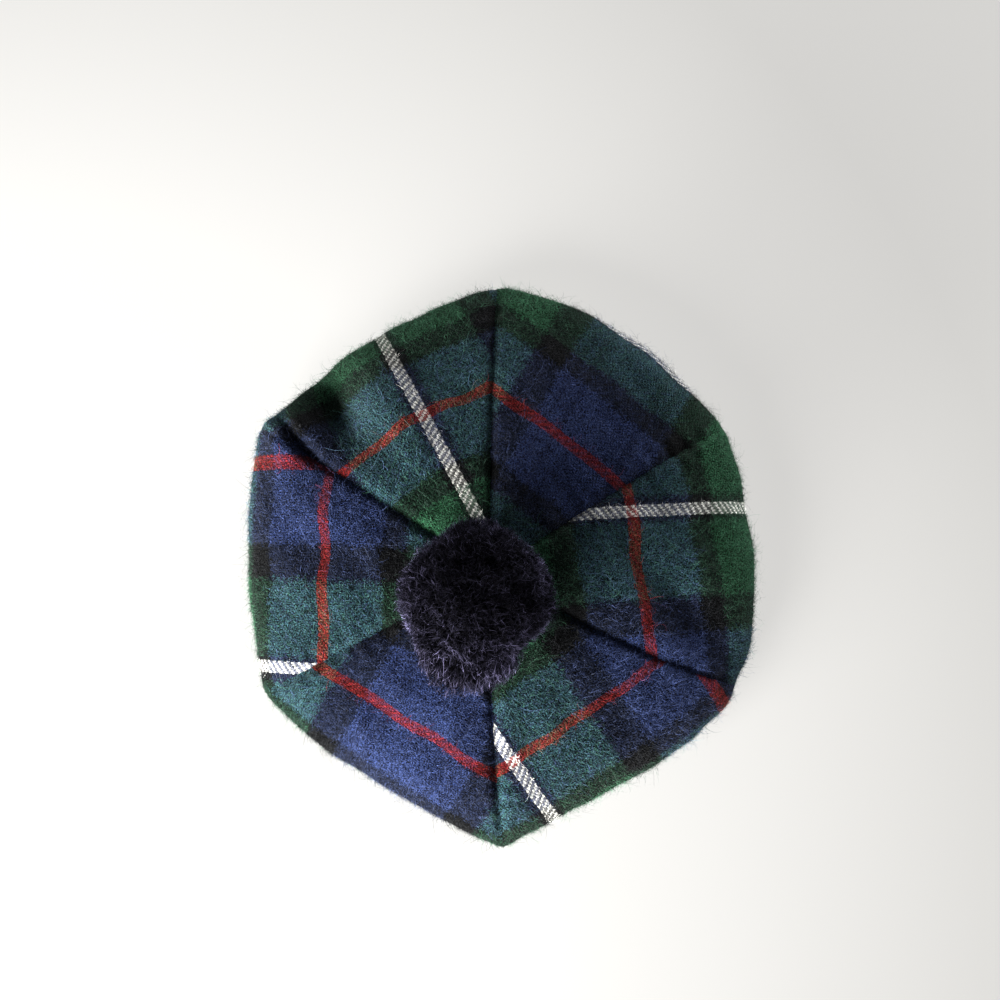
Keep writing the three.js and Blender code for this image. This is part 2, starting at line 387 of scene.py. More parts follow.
def shell_faces(rows, columns):
    """Faces of a closed wall between two grids, the outer one first."""
    outer = grid_faces(rows, columns)
    count = rows * columns
    inner = outer[:, ::-1] + count
    at = np.arange(count).reshape(rows, columns)
    ring = np.concatenate([at[0, :-1], at[:-1, -1], at[-1, :0:-1], at[:0:-1, 0]])
    ahead = np.roll(ring, -1)
    sides = np.stack([ring, ahead, ahead + count, ring + count], axis=-1)
    return np.concatenate([outer, inner, sides])


TAPER = 0.55  # the share of its width that a fibre keeps before its tip


def fibre_mesh(spines, across, width):
    """Points, faces and bake map of flat tapering fibres. spines holds the points of each one,
    from root to tip, and across the way that each fibre is wide."""
    count, joints, _ = spines.shape
    taper = np.linspace(1, TAPER, joints - 1)[:, None]
    half = across[:, None] * width[:, None, None] / 2 * taper
    pairs = np.stack([spines[:, :-1] - half, spines[:, :-1] + half], axis=2)
    points = np.concatenate([pairs.reshape(count, -1, 3), spines[:, -1:]], axis=1)
    low = 2 * np.arange(joints - 2)[:, None]
    quads = (low + np.array([0, 1, 3, 0, 3, 2])).reshape(-1, 3)
    end = 2 * (joints - 2)
    pattern = np.concatenate([quads, [[end, end + 1, end + 2]]])
    faces = (np.arange(count)[:, None, None] * (2 * joints - 1) + pattern).reshape(-1, 3)

    # Each fibre bakes into a square of its own, a little inside the square's edges.
    grid = math.ceil(math.sqrt(count))
    up = np.repeat(np.linspace(0.08, 0.8, joints - 1), 2)
    cell = np.stack([np.tile([0.1, 0.9], joints - 1), up], axis=-1)
    cell = np.concatenate([cell, [[0.5, 0.95]]])
    order = np.arange(count)
    place = np.stack([order % grid, order // grid], axis=-1)
    atlas = ((place[:, None] + cell) / grid)[:, pattern].reshape(-1, 2)
    share = np.append(np.repeat(np.linspace(0, 1, joints)[:-1], 2), 1)[pattern]
    return points.reshape(-1, 3), faces, atlas, np.tile(share.ravel(), count)


def tube(spine, radius, sides):
    """Points and faces of one round tube along a line, closed at both ends."""
    ahead = unit(np.gradient(spine, axis=0))
    up = np.where(np.abs(ahead[:, 2:]) > 0.9, [[1.0, 0.0, 0.0]], [[0.0, 0.0, 1.0]])
    right = unit(np.cross(ahead, up))
    over = np.cross(right, ahead)
    turns = np.arange(sides) / sides * math.tau
    ring = right[:, None] * np.cos(turns)[:, None] + over[:, None] * np.sin(turns)[:, None]
    # The radius draws in only at the very ends.
    wide = radius * np.sqrt(1 - np.linspace(-1, 1, len(spine)) ** 12 * 0.8)
    points = (spine[:, None] + ring * wide[:, None, None]).reshape(-1, 3)
    joints = len(spine)
    here = np.arange(joints - 1)[:, None] * sides + np.arange(sides)
    there = np.arange(joints - 1)[:, None] * sides + (np.arange(sides) + 1) % sides
    walls = np.stack([here, there, there + sides, here + sides], axis=-1).reshape(-1, 4)
    middles = np.array([spine[0], spine[-1]])
    points = np.concatenate([points, middles])
    first, last = len(points) - 2, len(points) - 1
    turn = np.arange(sides)
    after = (turn + 1) % sides
    top = (joints - 1) * sides
    caps = np.concatenate(
        [
            np.stack([np.full(sides, first), after, turn], axis=-1),
            np.stack([np.full(sides, last), top + turn, top + after], axis=-1),
        ]
    )
    triangles = np.concatenate([walls[:, [0, 1, 2]], walls[:, [0, 2, 3]], caps])
    return points, triangles


def joined(parts):
    """Points and faces of several meshes as one."""
    points = np.concatenate([part[0] for part in parts])
    starts = np.cumsum([0] + [len(part[0]) for part in parts[:-1]])
    faces = np.concatenate([part[1] + start for part, start in zip(parts, starts)])
    return points, faces


# ---------------- materials


def add_node(tree, kind, inputs=(), **settings):
    """Adds a shader node with its settings. inputs gives each input, by name or number or in
    order, its value or the node or output that feeds it."""
    node = tree.nodes.new("ShaderNode" + kind)
    for name, value in settings.items():
        setattr(node, name, value)
    for key, value in inputs.items() if isinstance(inputs, dict) else enumerate(inputs):
        if isinstance(value, bpy.types.Node):
            value = next(output for output in value.outputs if output.enabled)
        if isinstance(value, bpy.types.NodeSocket):
            tree.links.new(value, node.inputs[key])
        else:
            node.inputs[key].default_value = value
    return node


def new_material(name, recipe, *values):
    """A material from its recipe, which adds nodes and gives the inputs of the surface."""
    material = bpy.data.materials.new(name)
    material.use_nodes = True
    material.node_tree.nodes.clear()
    add = partial(add_node, material.node_tree)
    surface = add("BsdfPrincipled", recipe(add, *values))
    add("OutputMaterial", {"Surface": surface})
    return material


def scale_of(pattern):
    """The scale of a noise whose lumps have the size of a pattern."""
    return 1 / (PATTERN[pattern] * MM)


def striped(add, thread, stops):
    """A ramp over half a repeat, mirrored at its ends, read at a thread's number. stops holds
    the colour, with its alpha, of each stripe in turn."""
    folded = add("Math", (thread, float(HALF_REPEAT)), operation="PINGPONG")
    share = add("Math", (folded, float(HALF_REPEAT)), operation="DIVIDE")
    ramp = add("ValToRGB", (share,))
    ramp.color_ramp.interpolation = "CONSTANT"
    elements = ramp.color_ramp.elements
    place = 0
    for number, ((_, count), colour) in enumerate(zip(STRIPES, stops)):
        stop = elements[number] if number < 2 else elements.new(0.99)
        stop.position = place / HALF_REPEAT
        stop.color = colour
        place += count
    return ramp


def yarn_colour(add, colours, thread, loose_thread):
    """The dye of a yarn, and how crisp it is. The ground stripes are read where brushing has
    pulled their fibres to, and the two narrow lines stay where they were woven."""
    ground = [(*colours[GROUND.get(dye, dye)], 1) for dye, _ in STRIPES]
    lines = [(*colours[dye], CRISP.get(dye, 0)) for dye, _ in STRIPES]
    soft = striped(add, loose_thread, ground)
    crisp = striped(add, thread, lines)
    crispness = crisp.outputs["Alpha"]
    line = add("Math", (crispness, 0.1), operation="GREATER_THAN")
    return add("Mix", {0: line, 6: soft, 7: crisp}, data_type="RGBA"), crispness


def pulled(add, places, drag, pattern):
    """Thread numbers moved a little at random, as brushing moves the fibres: drag is in threads."""
    place = add("TexCoord").outputs["Object"]
    loose = add("TexNoise", {"Vector": place, "Scale": scale_of(pattern), "Detail": 1.0})
    centred = add("VectorMath", (loose.outputs["Color"], (0.5, 0.5, 0.5)), operation="SUBTRACT")
    moved = add("VectorMath", (centred, (drag, drag, 0.0), places), operation="MULTIPLY_ADD")
    parts = add("SeparateXYZ", (moved,))
    return parts.outputs["X"], parts.outputs["Y"]


def twill(add, warp, weft):
    """Whether the warp is on top in a two-and-two twill, and how high its rounded yarns stand."""
    heights = []
    for place, other, start in ((warp, weft, 0.0), (weft, warp, 3.0)):
        own = add("Math", (place,), operation="FLOOR")
        ahead = add("Math", (other, own), operation="SUBTRACT")
        ahead = add("Math", (ahead, start), operation="SUBTRACT")
        # Where a point lies along the float that it may be part of: from -1 to 1 on the float.
        along = add("Math", (ahead, 2.0, -2.0), operation="WRAP")
        if not heights:
            size = add("Math", (along,), operation="ABSOLUTE")
            over = add("Math", (size, 1.0), operation="LESS_THAN")
        across = add("Math", (place, own), operation="SUBTRACT")
        across = add("Math", (across, 0.5), operation="SUBTRACT")
        across = add("Math", (across, across), operation="MULTIPLY")
        along = add("Math", (along, along), operation="MULTIPLY")
        rounded = add("Math", (across, -3.4, 1.0), operation="MULTIPLY_ADD")
        dipped = add("Math", (along, -0.6, 1.0), operation="MULTIPLY_ADD")
        heights.append(add("Math", (rounded, dipped), operation="MULTIPLY"))
    return over, add("Mix", {0: over, 2: heights[1], 3: heights[0]})


def brushed_twill(add, colours):
    """Brushed wool twill: dyed woollen yarn in a two-and-two twill, its face raised with teasels. The
    eye sees soft-edged stripes, a fine speckle of fibre ends over dark gaps, and the twill's slanting
    beads where the yarn is white, with painted shade darkening the low parts of the beads and the gaps
    between the yarns."""
    places = add("UVMap", uv_map="Threads")
    end, pick = pulled(add, places, 1.2, "pull")
    brushed_end, brushed_pick = pulled(add, places, 12.0, "brush")
    warp, warp_crisp = yarn_colour(add, colours, end, brushed_end)
    weft, weft_crisp = yarn_colour(add, colours, pick, brushed_pick)
    over, height = twill(add, end, pick)
    crisp = add("Math", (warp_crisp, weft_crisp), operation="MAXIMUM")

    place = add("TexCoord").outputs["Object"]
    clumps = add("TexNoise", {"Vector": place, "Scale": scale_of("clump"), "Detail": 2.0})
    grain = add("TexNoise", {"Vector": place, "Scale": scale_of("end"), "Detail": 1.0})

    cover = add("MapRange", (clumps, 0.35, 0.65, 0.8, 1.0))
    clear = add("Math", (crisp, crisp), operation="MULTIPLY")
    clear = add("Math", (clear, -0.75, 1.0), operation="MULTIPLY_ADD")
    haze = add("Math", (cover, clear), operation="MULTIPLY")
    woven = add("Mix", {0: over, 6: weft, 7: warp}, data_type="RGBA")
    # Mixed fibres shade each other, so the darker dye tells more than it would in paint.
    rooted = [add("Gamma", (yarn, 1 / 3)) for yarn in (weft, warp)]
    lean = add("Math", (warp_crisp, weft_crisp), operation="SUBTRACT")
    lean = add("Math", (lean, 0.5, 0.5), operation="MULTIPLY_ADD")
    blended = add("Mix", {0: lean, 6: rooted[0], 7: rooted[1]}, data_type="RGBA")
    blended = add("Gamma", (blended, 3.0))
    brushed = add("Mix", {0: haze, 6: woven, 7: blended}, data_type="RGBA")

    speckle = add("MapRange", (grain, 0.38, 0.62, 0.0, 2.2))
    calm = add("Math", (crisp, 0.7), operation="MULTIPLY")
    speckle = add("Mix", {0: calm, 2: speckle, 3: 1.0})
    # Painted shade: the low parts of the woven beads and the gaps between the yarns are darkened,
    # deepest on the narrow lines, and the bead tops are a little lightened.
    gap = add("Math", (crisp, -0.35, 0.6), operation="MULTIPLY_ADD")
    beads = add("MapRange", (height, 0.0, 1.0, gap, 1.15))
    shade = add("Math", (speckle, beads), operation="MULTIPLY")
    shaded = add("VectorMath", {0: brushed, "Scale": shade}, operation="SCALE")
    relief = add("Math", (grain, 1.6, height), operation="MULTIPLY_ADD")
    bump = add("Bump", {"Strength": 0.8, "Distance": 0.0005, "Height": relief})
    return {
        "Base Color": shaded,
        "Roughness": 0.95,
        "IOR": 1.5,
        "Specular IOR Level": 0.06,
        "Sheen Weight": 0.1,
        "Sheen Roughness": 0.5,
        "Normal": bump,
    }


def raised_nap(add, colours):
    """The raised nap: wool fibres teased out of both yarns and matted together, so each shows some of
    both dyes. The eye sees curling threads over the cloth, pale where a painted highlight is put on
    them, and a haze at its edge."""
    threads = add("SeparateXYZ", (add("UVMap", uv_map="Threads"),))
    warp, _ = yarn_colour(add, colours, threads.outputs["X"], threads.outputs["X"])
    weft, _ = yarn_colour(add, colours, threads.outputs["Y"], threads.outputs["Y"])
    own = add("SeparateXYZ", (add("UVMap", uv_map="Fibre"),))
    dye = add("Mix", {0: own.outputs["X"], 6: weft, 7: warp}, data_type="RGBA")
    # Painted light: each fibre gets a random brightness, so a few look as if they catch the light, with
    # a painted highlight paled towards grey, and most are painted darker, as if in the shade of others.
    catch = add("Math", (own.outputs["Y"], 2.0), operation="POWER")
    depth = add("Math", (catch, 3.6, 0.2), operation="MULTIPLY_ADD")
    shaded = add("VectorMath", {0: dye, "Scale": depth}, operation="SCALE")
    pale = add("Math", (catch, 0.14), operation="MULTIPLY")
    highlighted = add("Mix", {0: pale, 6: shaded, 7: (0.5, 0.53, 0.58, 1)}, data_type="RGBA")
    return {
        "Base Color": highlighted,
        "Roughness": 0.7,
        "IOR": 1.5,
        "Specular IOR Level": 0.1,
        "Sheen Weight": 0.1,
        "Sheen Roughness": 0.4,
    }


def cut_yarn(add, colour):
    """Cut wool yarn, dyed navy: the ends splay into fine strands, so the eye sees pale tips over a
    nearly black inside. Both are painted: the strands are painted darker towards their roots as painted
    shade, and each is given a random painted brightness that picks out a few as painted highlights."""
    own = add("SeparateXYZ", (add("UVMap", uv_map="Fibre"),))
    # Painted shade towards the roots and painted light at the tips.
    tip = add("Math", (own.outputs["Y"], 3.0), operation="POWER")
    tip = add("Math", (tip, 1.5, 0.06), operation="MULTIPLY_ADD")
    # A random painted brightness for each strand, so a few carry painted highlights.
    catch = add("Math", (own.outputs["X"], 4.0), operation="POWER")
    catch = add("Math", (catch, 15.0, 0.1), operation="MULTIPLY_ADD")
    lift = add("Math", (tip, catch), operation="MULTIPLY")
    shaded = add("VectorMath", {0: tuple(colour), "Scale": lift}, operation="SCALE")
    return {
        "Base Color": shaded,
        "Roughness": 0.6,
        "IOR": 1.5,
        "Specular IOR Level": 0.03,
    }


def firm_twill(add, colour):
    """Plain wool twill, firmly woven and not brushed: a dark band with a fine slanting rib and
    a little fluff."""
    threads = add("SeparateXYZ", (add("UVMap", uv_map="Threads"),))
    _, height = twill(add, threads.outputs["X"], threads.outputs["Y"])
    place = add("TexCoord").outputs["Object"]
    fluff = add("TexNoise", {"Vector": place, "Scale": scale_of("fluff"), "Detail": 3.0})
    # Painted shade in the low parts of the twill's ribs; the fluff noise is the wool's own random tone.
    rib = add("Math", (height, 0.7, 0.15), operation="MULTIPLY_ADD")
    lift = add("Math", (fluff, 0.8, rib), operation="MULTIPLY_ADD")
    shaded = add("VectorMath", {0: tuple(colour), "Scale": lift}, operation="SCALE")
    relief = add("Math", (height, fluff), operation="ADD")
    bump = add("Bump", {"Strength": 0.7, "Distance": 0.0004, "Height": relief})
    return {
        "Base Color": shaded,
        "Roughness": 0.9,
        "IOR": 1.5,
        "Specular IOR Level": 0.2,
        "Sheen Weight": 0.2,
        "Normal": bump,
    }


def sewing_thread(add, colour):
    """Spun polyester thread: smooth and slightly glossy, so each stitch shows as a small bead
    of light."""
    place = add("TexCoord").outputs["Object"]
    twist = add("TexNoise", {"Vector": place, "Scale": scale_of("twist")})
    lift = add("Math", (twist, 0.5), operation="ADD")
    shaded = add("VectorMath", {0: tuple(colour), "Scale": lift}, operation="SCALE")
    return {"Base Color": shaded, "Roughness": 0.45, "IOR": 1.6}


def opal_acrylic(add, colour, glow):
    """A sheet of opal acrylic that glows by its own emission, painted light that stands in for a lamp
    below it, strongest nearest to the front left: nearly white there and a little greyer away from it,
    so the eye sees only soft shadows on it."""
    place = add("TexCoord").outputs["Object"]
    # The glow is a painted pool of light, fading with the distance from a point at the front left.
    away = add("VectorMath", (place, (-0.25, -0.08, 0.0)), operation="DISTANCE")
    fade = add("MapRange", (away.outputs["Value"], 0.26, 0.52, 1.0, 0.72))
    strength = add("Math", (fade, glow), operation="MULTIPLY")
    return {
        "Base Color": (*colour, 1),
        "Roughness": 0.9,
        "Emission Color": (1.0, 0.99, 0.97, 1),
        "Emission Strength": strength,
    }


# ---------------- settings


def colour_of(label, description, colour):
    return FloatVectorProperty(
        name=label,
        description=description,
        subtype="COLOR",
        size=3,
        min=0,
        max=1,
        default=linear(colour),
    )


def wool_colour(label, key):
    return colour_of(label, f"{label} of the dyed wool", WOOL[key])


def length(label, description, millimetres):
    return FloatProperty(
        name=label,
        description=description,
        subtype="DISTANCE",
        unit="LENGTH",
        default=millimetres * MM,
        precision=5,
    )


def angle(label, description, degrees):
    return FloatProperty(
        name=label,
        description=description,
        subtype="ANGLE",
        unit="ROTATION",
        default=math.radians(degrees),
    )


def power(label, description, watts):
    return FloatProperty(
        name=label, description=description, subtype="POWER", unit="POWER", default=watts
    )


def amount(label, description, default):
    return FloatProperty(name=label, description=description, default=default, min=0)


def whole_number(label, description, default, least, most):
    return IntProperty(name=label, description=description, default=default, min=least, max=most)


class CrownSettings(bpy.types.PropertyGroup):
    puff: length("Puff", "Rise of the cloth between two seams", PUFF)
    seam_depth: length("Seam depth", "Depth of the valley along a seam", 2.6)
    unevenness: length("Unevenness", "Height of the slow waves in the lying cloth", 0.45)
    end_spacing: length("End spacing", "Distance between warp threads", 1.2)
    pick_spacing: length("Pick spacing", "Distance between weft threads", 0.87)
    blue: wool_colour("Blue", "blue")
    green: wool_colour("Green", "green")
    navy: wool_colour("Navy", "navy")
    black: wool_colour("Black", "black")
    red: wool_colour("Red", "red")
    white: wool_colour("White", "white")


class NapSettings(bpy.types.PropertyGroup):
    fibres: whole_number("Fibres", "Short fibres on each gore", 20500, 100, 60000)
    strays: whole_number("Strays", "Long curling fibres on each gore", 4800, 10, 9000)
    length: length("Length", "Usual length of a short fibre", 2.6)
    stray_length: length("Stray length", "Usual length of a long fibre", 5.5)
    width: length("Width", "Width of a fibre, drawn coarser than real wool so that it shows", 0.16)


class PompomSettings(bpy.types.PropertyGroup):
    ends: whole_number("Yarn ends", "Cut ends of yarn in the pompom", 2800, 10, 9000)
    strands: whole_number("Strands", "Strands that each end splays into", 11, 2, 60)
    width: length("Width", "Width of a strand", 0.34)
    colour: wool_colour("Yarn", "yarn")


class BandSettings(bpy.types.PropertyGroup):
    end_spacing: length("End spacing", "Distance between threads round the band", 0.9)
    stitch: length("Stitch", "Length of a stitch", 3.4)
    colour: wool_colour("Band", "band")
    thread: wool_colour("Thread", "thread")


class StageSettings(bpy.types.PropertyGroup):
    floor: colour_of("Floor", "Colour of the sheet under the cap", SHEET)
    glow: amount("Glow", "How strongly the sheet under the cap is lit", 0.8)
    key: power("Key light", "Power of the low light at the front left", 100.0)
    key_bearing: angle("Key bearing", "Bearing of the key light from the cap", 226)
    key_height: angle("Key elevation", "Elevation of the key light", 16)
    fill: power("Fill light", "Power of the weak light at the back right", 37.0)
    ambient: amount("Ambient", "Strength of the light from all round", 0.16)
    distance: length("Camera distance", "From the camera to the cap's rim", 540)


# ---------------- pieces


# Rows and columns of points on a gore's wall.
ROWS_TOP = 84
ROWS_UNDER = 34
COLUMNS = 56
# Nap is spread over the cells of a coarser grid that ends under the crown, where it is thinner.
NAP_CELLS = {"top": 80, "under": 39, "across": 48}
NAP_END = 1.85
NAP_UNDER = {"from": 1.12, "share": 0.3}
NAP_LIE = {"heading": 0.5, "spread": 1.3}  # radians from straight down the gore
ROOT_DEPTH = 0.15  # millimetres that a fibre starts under the face
ABOVE_FLOOR = 0.3  # millimetres that every fibre keeps above the floor
ON_LINE = 0.55  # the share of its length that a fibre has on one of the narrow lines
CLEAR_OF_SEAM = 4  # the distance from a seam, in millimetres, at which fibres are full length


def dyes(settings):
    return {dye: tuple(getattr(settings, dye)) for dye in dict(STRIPES)}


def atlas_place(rows, columns):
    """Bake map of a closed wall: its outer face, its inner face beside it, and its edge as a
    column of small squares."""
    down, over = np.meshgrid(np.linspace(0, 1, rows), np.linspace(0, 1, columns), indexing="ij")
    outer = np.stack([0.01 + 0.66 * over, 0.01 + 0.98 * down], axis=-1).reshape(-1, 2)
    inner = np.stack([0.69 + 0.24 * over, 0.01 + 0.98 * down], axis=-1).reshape(-1, 2)
    atlas = np.concatenate([outer, inner])[shell_faces(rows, columns)]
    ring = len(atlas) - 2 * (rows - 1) * (columns - 1)
    start = np.arange(ring) / ring
    end = start + 0.9 / ring
    corners = ((0.95, start), (0.95, end), (0.99, end), (0.99, start))
    edge = [np.stack(np.broadcast_arrays(*corner), axis=-1) for corner in corners]
    atlas[-ring:] = np.stack(edge, axis=1)
    return atlas


class CAP_OT_gores(bpy.types.Operator):
    """Sews the six gores of the crown"""

    bl_idname = "cap.gores"
    bl_label = "Gores"

    def execute(self, context):
        settings = context.scene.cap_crown
        material = new_material("brushed_wool_twill", brushed_twill, dyes(settings))
        sides = np.sin(np.linspace(-1, 1, COLUMNS) * QUARTER_TURN)
        rows = np.concatenate(
            [np.linspace(FIRST_ROW, 1, ROWS_TOP), 1 + np.linspace(0, 1, ROWS_UNDER)[1:]]
        )
        t, side = np.meshgrid(rows, sides, indexing="ij")
        faces = shell_faces(*t.shape)
        for index, gore in enumerate(GORES):
            outer, normal, from_seam = cloth(index, side, t, settings)
            thick = WALL + TURNED_IN["thick"] * bell(from_seam, TURNED_IN["width"])
            inner = outer - normal * thick[..., None]
            points = np.concatenate([outer.reshape(-1, 3), inner.reshape(-1, 3)])
            threads = thread_places(index, outer, t, settings).reshape(-1, 2)
            maps = {
                "Threads": np.concatenate([threads, threads])[faces].reshape(-1, 2),
                "OFBake": atlas_place(*t.shape).reshape(-1, 2),
            }
            piece = new_piece(
                "cloth_" + gore["name"], points, faces, maps, material
            )
            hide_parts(gore["name"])
        return {"FINISHED"}


def on_line(thread):
    """Whether a thread is in one of the two narrow lines of the check."""
    folded = np.abs((thread + HALF_REPEAT) % (2 * HALF_REPEAT) - HALF_REPEAT)
    ends = np.cumsum([count for _, count in STRIPES])
    narrow = np.array([dye in GROUND for dye, _ in STRIPES])
    return narrow[np.minimum(np.searchsorted(ends, folded, side="right"), len(ends) - 1)]


def scattered(index, count, draw, settings):
    """Random places on a gore's outer face, even by area and thinner under the crown."""
    columns = NAP_CELLS["across"]
    on_top = np.linspace(FIRST_ROW, 1, NAP_CELLS["top"] + 1)
    t_edges = np.append(on_top, np.linspace(1, NAP_END, NAP_CELLS["under"] + 1)[1:])
    side_edges = np.linspace(-1, 1, columns + 1)
    t, side = np.meshgrid(t_edges, side_edges, indexing="ij")
    points, _, _ = cloth(index, side, t, settings)
    down = points[1:, :-1] - points[:-1, :-1]
    over = points[:-1, 1:] - points[:-1, :-1]
    area = np.linalg.norm(np.cross(down, over), axis=-1)
    area *= np.where(t[:-1, :-1] > NAP_UNDER["from"], NAP_UNDER["share"], 1.0)
    share = (area / area.sum()).ravel()
    cell = draw.choice(share.size, size=count, p=share)
    row, column = cell // columns, cell % columns
    t_at = mix(t_edges[row], t_edges[row + 1], draw.random(count))
    side_at = mix(side_edges[column], side_edges[column + 1], draw.random(count))
    return side_at, t_at


def cloth_frame(index, side, t, settings):
    """Points of a gore with three unit ways at each: down the gore, across it and off its face."""
    root, _, _ = cloth(index, side, t, settings)
    lower, _, _ = cloth(index, side, np.minimum(t + STEP, 2), settings)
    upper, _, _ = cloth(index, side, np.maximum(t - STEP, STEP), settings)
    second, _, _ = cloth(index, np.minimum(side + STEP, 1), t, settings)
    first, _, _ = cloth(index, np.maximum(side - STEP, -1), t, settings)
    off = unit(np.cross(lower - upper, second - first))
    down = unit(lower - upper)
    return root, down, np.cross(off, down), off


def grown(frame_at, size, lift, curl, joints, draw):
    """Fibres that grow from a surface. lift is each one's first angle off it, and curl is how
    much it turns at a joint."""
    root, down, over, off = frame_at
    count = len(root)
    heading = draw.normal(NAP_LIE["heading"], NAP_LIE["spread"], count)
    bend = draw.normal(0, curl, count)
    sink = lift * draw.uniform(0.3, 1.4, count) / (joints - 1)
    spines = [root - off * ROOT_DEPTH]
    place = root
    for joint in range(1, joints):
        flat = down * np.cos(heading)[:, None] + over * np.sin(heading)[:, None]
        ahead = flat * np.cos(lift)[:, None] + off * np.sin(lift)[:, None]
        place = place + ahead * (size / (joints - 1))[:, None]
        spines.append(place)
        if joint == 1:
            wide = np.cross(ahead, off)
            twist = draw.normal(0, 0.8, count)[:, None]
            wide = unit(unit(wide) * np.cos(twist) + np.cross(ahead, wide) * np.sin(twist))
        heading = heading + bend + draw.normal(0, curl / 2, count)
        lift = lift - sink
    spines = np.stack(spines, axis=1)
    spines[..., 2] = np.maximum(spines[..., 2], ABOVE_FLOOR)
    return spines, wide


# Kinds of fibre: how much their lengths spread, their first angles off the cloth, how much they curl,
# their points, their share of the usual width, and the least painted light that each is given.
NAP_KINDS = (
    {"start": "nap_", "count": "fibres", "length": "length", "spread": 0.3,
     "lifts": (0.1, 0.8), "curl": 0.8, "joints": 3, "fine": 1.0, "least_painted_light": 0.0},
    {"start": "strays_", "count": "strays", "length": "stray_length", "spread": 0.5,
     "lifts": (0.15, 1.1), "curl": 0.55, "joints": 6, "fine": 0.6, "least_painted_light": 0.4},
)


class CAP_OT_nap(bpy.types.Operator):
    """Raises the nap of loose fibres on each gore"""

    bl_idname = "cap.nap"
    bl_label = "Nap"

    def execute(self, context):
        settings = context.scene.cap_crown
        nap = context.scene.cap_nap
        material = new_material("raised_wool_nap", raised_nap, dyes(settings))
        for index, gore in enumerate(GORES):
            for kind in NAP_KINDS:
                count, joints = getattr(nap, kind["count"]), kind["joints"]
                usual = getattr(nap, kind["length"]) / MM
                draw = np.random.default_rng(100 * joints + index)
                side, t = scattered(index, count, draw, settings)
                frame_at = cloth_frame(index, side, t, settings)
                threads = thread_places(index, frame_at[0], t, settings)
                lined = on_line(threads[:, 0]) | on_line(threads[:, 1])
                size = usual * np.exp(draw.normal(0, kind["spread"], count))
                _, _, from_seam = cloth(index, side, t, settings)
                size = np.minimum(size * np.where(lined, ON_LINE, 1), 2 * usual)
                size = size * np.clip(from_seam / CLEAR_OF_SEAM, 0.25, 1)
                lift = draw.uniform(*kind["lifts"], count)
                spines, wide = grown(frame_at, size, lift, kind["curl"], joints, draw)
                width = nap.width / MM * kind["fine"] * draw.uniform(0.5, 1.2, count)
                points, faces, atlas, _ = fibre_mesh(spines, wide, width)
                corners = 3 * len(faces) // count
                # Each fibre's share of the warp's dye, and its painted brightness.
                pale = (draw.random(count), draw.uniform(kind["least_painted_light"], 1, count))
                own = np.stack(pale, axis=-1)
                maps = {
                    "Threads": np.repeat(threads, corners, axis=0),
                    "Fibre": np.repeat(own, corners, axis=0),
                    "OFBake": atlas,
                }
                name = kind["start"] + gore["name"]
                new_piece(name, points, faces, maps, material, smooth=False)
        return {"FINISHED"}


def crown_height(x, y):
    """The most that the crown rises to under a plan point, without its folds."""
    widest = GORES[0]
    k = np.clip(np.hypot(x - TIP[0], y - TIP[1]) / widest["reach"], 0, 1)
    t = np.arcsin(k) / QUARTER_TURN
    _, height = section(widest["reach"], widest["rim"], 0, t)
    return height + PUFF * np.sin(t * math.pi)


def degrees_from(ways, bearing, dip):
    """Angle between each way and the one with this bearing and dip."""
    bearing, dip = math.radians(bearing), math.radians(dip)
    centre = (math.cos(bearing) * math.cos(dip), math.sin(bearing) * math.cos(dip), -math.sin(dip))
    return np.degrees(np.arccos(np.clip(ways @ np.array(centre), -1, 1)))


def ball_points(ways, share):
    """Points of the pompom in the given directions, at a share of the way to its surface."""
    away = degrees_from(ways, TUFT["bearing"], TUFT["dip"])
    tuft = TUFT["reach"] * np.exp(-((away / TUFT["spread"]) ** 4))
    reach = np.array(BALL["radii"]) + tuft[..., None]
    lumps = sum(LUMPS["rise"] * np.sin(ways @ np.array(way)) for way in LUMPS["ways"])
    depth = PARTING["depth"] * bell(away - PARTING["away"], PARTING["width"]) - lumps
    for dent in DENTS:
        away = degrees_from(ways, dent["bearing"], dent["dip"])
        depth += dent["depth"] * bell(away, dent["spread"])
    points = np.array(BALL["centre"]) + ways * reach * (share * (1 - depth))[..., None]
    floor = crown_height(points[..., 0], points[..., 1]) + BALL["clear"]
    points[..., 2] = np.maximum(points[..., 2], floor)
    return points


